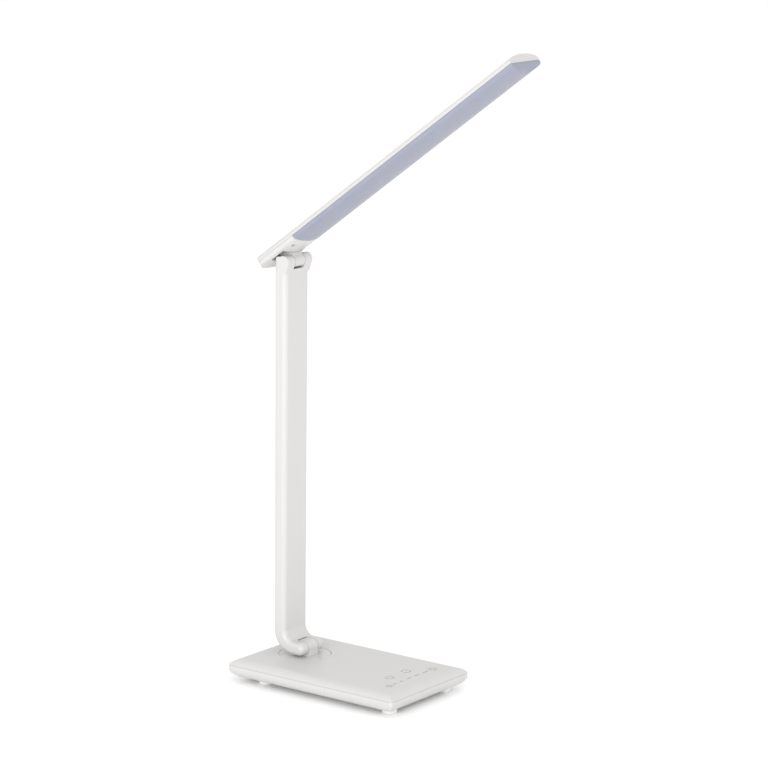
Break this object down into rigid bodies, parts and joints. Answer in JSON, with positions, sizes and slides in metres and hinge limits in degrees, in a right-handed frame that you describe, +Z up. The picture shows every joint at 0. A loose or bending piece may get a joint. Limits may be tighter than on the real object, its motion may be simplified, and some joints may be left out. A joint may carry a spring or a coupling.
{
  "type": "folding led desk lamp",
  "caption": "White folding desk lamp with a flat rectangular base, a flat upright arm hinged at its foot and a long flat head with an opal diffuser.",
  "frame": {"origin": "on the table under the centre of the base", "axes": "+Z up; -Y is the front of the base, the way the head points; X runs along both hinge axes"},
  "size_m": [0.121, 0.286, 0.6039],
  "materials": {
    "white_cover": "satin moulded shell",
    "white_casting": "satin paint on a zinc casting",
    "opal_diffuser": "opal, faintly lavender, satin",
    "soft_pad": "milky, half clear",
    "zinc_steel": "bright zinc plate",
    "polished_steel": "ground",
    "dark_steel": "black oxide",
    "board_green": "solder mask",
    "black_plastic": "moulded",
    "copper_sheet": "thin foil",
    "red_lead": "smooth sleeve",
    "white_lead": "smooth sleeve",
    "nylon": "natural",
    "bronze": "ground",
    "white_film": "bright white sheet",
    "board_white": "white mask on metal",
    "led_phosphor": "phosphor under clear resin",
    "aluminium_strip": "rolled"
  },
  "bodies": {
    "base": {"base_top_cover": "white_cover", "base_bottom_cover": "white_cover", "base_feet": "soft_pad", "base_screws": "zinc_steel", "counterweight_plate": "dark_steel", "counterweight_screws": "zinc_steel", "control_board": "board_green", "board_components": "black_plastic", "board_screws": "zinc_steel", "touch_sensor_sheet": "copper_sheet", "dc_jack": "black_plastic", "jack_lead": "red_lead", "base_lead": "white_lead", "bearing_plate": "zinc_steel", "bearing_screws": "zinc_steel", "swivel_bush": "nylon"},
    "turntable": {"swivel_casting": "white_casting", "turntable_disc": "white_cover", "disc_screws": "zinc_steel", "slip_washer": "nylon", "spring_washer": "polished_steel", "spindle_nut": "zinc_steel"},
    "arm": {"arm_shell": "white_cover", "arm_back_cover": "white_cover", "arm_stiffener": "zinc_steel", "arm_screws": "zinc_steel", "arm_lead": "white_lead", "lower_hinge_shaft": "polished_steel", "upper_hinge_shaft": "polished_steel", "lower_friction_washers": "bronze", "upper_friction_washers": "bronze", "hinge_caps": "white_cover"},
    "head": {"head_knuckle": "white_casting", "head_knuckle_screws": "zinc_steel", "head_top_cover": "white_cover", "head_bottom_frame": "white_cover", "head_screws": "dark_steel", "diffuser": "opal_diffuser", "reflector": "white_film", "led_board": "board_white", "leds": "led_phosphor", "heat_spreader": "aluminium_strip", "light_screws": "zinc_steel", "head_lead": "white_lead"}
  },
  "joints": [
    {"name": "base_swivel", "type": "hinge", "parent": "base", "child": "turntable", "pos_m": [0, 0.0509, 0.022], "axis": [0, 0, 1], "range_deg": [-45, 45]},
    {"name": "arm_fold", "type": "hinge", "parent": "turntable", "child": "arm", "pos_m": [0, 0.04655, 0.02965], "axis": [1, 0, 0], "range_deg": [0, 90]},
    {"name": "head_fold", "type": "hinge", "parent": "arm", "child": "head", "pos_m": [0, 0.0646, 0.397], "axis": [1, 0, 0], "range_deg": [-15, 126]}
  ]
}
